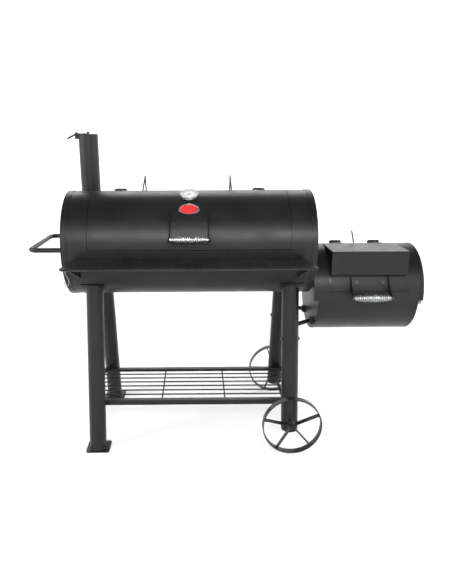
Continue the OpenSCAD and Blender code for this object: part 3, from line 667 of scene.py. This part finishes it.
bm = bmesh.new()
for x in LEGS_X:
    for side in (-1, 1):
        foot, high = leg_axis(x, side, 0.0), leg_axis(x, side, 0.8)
        sweep(bm, joint_line(foot, high - foot, LEG_R, BARREL_R + 0.0045, False), 0.0024, 8, True,
              0.3)
stack = middle("stack_pipe")
sweep(bm, joint_line((stack[0], stack[1], BZ), (0, 0, 1), 0.0476, BARREL_R + 0.0004, True), 0.0024,
      8, True, 0.3)
for side in (-1, 1):
    foot = leg_axis(LEGS_X[0], side, 0.0062)
    ring = [(foot.x + LEG_R * math.cos(a), foot.y + LEG_R * math.sin(a) * 1.017, 0.0068)
            for a in (2 * math.pi * k / 72 for k in range(72))]
    sweep(bm, ring, 0.0024, 8, True, 0.3)
piece("frame_welds", finish_mesh("frame_welds", bm), WELD_PAINT, "frame")

for name, width in (("door_hood", 0.002), ("foot_plates", 0.0012), ("lid_handle_bracket", 0.0006),
                    ("door_handle_bracket", 0.0006), ("rack_rails", 0.0008),
                    ("rack_end_bars", 0.0008), ("shelf_brackets", 0.0007),
                    ("ash_drawer", 0.0006), ("stack_cap", 0.0007)):
    soften(name, width)

# ---- Floor, light and camera ----

# The floor fades to white away from the middle, so that no horizon shows.
floor_mat, nt, bsdf = tree("studio_floor")
bsdf.inputs["Base Color"].default_value = (0.86, 0.86, 0.86, 1)
bsdf.inputs["Roughness"].default_value = 0.9
bsdf.inputs["Specular IOR Level"].default_value = 0.1
bsdf.inputs["Emission Color"].default_value = (1, 1, 1, 1)
where = nt.nodes.new("ShaderNodeTexCoord")
spread = nt.nodes.new("ShaderNodeVectorMath")
spread.operation = "LENGTH"
nt.links.new(where.outputs["Object"], spread.inputs[0])
nt.links.new(remap(nt, spread.outputs["Value"], 0.12, 0.62, 1.6, 7.0),
             bsdf.inputs["Emission Strength"])
bm = bmesh.new()
rings = [(0.5, 0.0), (7.0, 0.0)]
rings += [(7.0 + 3 * math.sin(t), 3 - 3 * math.cos(t))
          for t in (math.pi / 2 * k / 12 for k in range(1, 13))]
rings += [(10.0, 9.0)]
loops = [[bm.verts.new((r * math.cos(t), r * math.sin(t), z))
          for t in (2 * math.pi * k / 96 for k in range(96))] for r, z in rings]
bm.faces.new(loops[0])
for inner, outer in zip(loops, loops[1:]):
    for j in range(96):
        bm.faces.new((inner[j], outer[j], outer[(j + 1) % 96], inner[(j + 1) % 96]))
mesh = bpy.data.meshes.new("studio_floor")
bm.to_mesh(mesh)
bm.free()
for p in mesh.polygons:
    p.use_smooth = True
floor = bpy.data.objects.new("studio_floor", mesh)
mesh.materials.append(floor_mat)
bpy.context.scene.collection.objects.link(floor)

world = bpy.data.worlds.new("studio")
bpy.context.scene.world = world
world.use_nodes = True
nt = world.node_tree
background = next(n for n in nt.nodes if n.type == "BACKGROUND")
coords = nt.nodes.new("ShaderNodeTexCoord")
split = nt.nodes.new("ShaderNodeSeparateXYZ")
nt.links.new(coords.outputs["Generated"], split.inputs["Vector"])
sky = ramp(nt, split.outputs["Z"], [(0.0, (1.0, 1.0, 1.0)), (0.3, (0.85, 0.85, 0.85)),
                                    (0.6, (0.2, 0.2, 0.2)), (1.0, (0.28, 0.28, 0.28))])
nt.links.new(sky, background.inputs["Color"])
background.inputs["Strength"].default_value = 0.78


def softbox(name, at, aim, width, height, power):
    lamp = bpy.data.lights.new(name, "AREA")
    lamp.shape = "RECTANGLE"
    lamp.size, lamp.size_y, lamp.energy = width, height, power
    obj = bpy.data.objects.new(name, lamp)
    bpy.context.scene.collection.objects.link(obj)
    obj.location = at
    obj.rotation_euler = (Vector(aim) - Vector(at)).to_track_quat("-Z", "Y").to_euler()


softbox("front_box", (0, -4.2, 2.9), (0, 0, 0.8), 3.4, 0.8, 130)
softbox("left_box", (-3.6, -1.2, 2.2), (0, 0, 0.8), 1.2, 2.2, 60)
softbox("right_box", (3.8, -0.8, 2.2), (0, 0, 0.8), 1.2, 2.2, 50)
softbox("back_box", (0, 3.6, 3.6), (0, 0, 0.9), 4.5, 1.2, 45)

CAMERA_AT = (-0.143, -2.5153, 1.4184)
PITCH, YAW, ROLL = (math.radians(a) for a in (15.58, 0.2528, -0.2758))
forward = Vector((math.sin(YAW) * math.cos(PITCH), math.cos(YAW) * math.cos(PITCH),
                  -math.sin(PITCH)))
level = Vector((math.cos(YAW), -math.sin(YAW), 0))
tall = level.cross(forward)
side_axis = level * math.cos(ROLL) + tall * math.sin(ROLL)
up_axis = side_axis.cross(forward)
bpy.context.scene.view_settings.view_transform = "Standard"
cam = bpy.data.cameras.new("camera")
cam.sensor_width = 36
cam.lens = 33.03
cam.shift_x = 0.0442
cam.shift_y = -0.0029
camera = bpy.data.objects.new("camera", cam)
bpy.context.scene.collection.objects.link(camera)
m = Matrix.Identity(4)
for i in range(3):
    m[i][0] = side_axis[i]
    m[i][1] = up_axis[i]
    m[i][2] = -forward[i]
m.translation = Vector(CAMERA_AT)
camera.matrix_world = m
bpy.context.scene.camera = camera
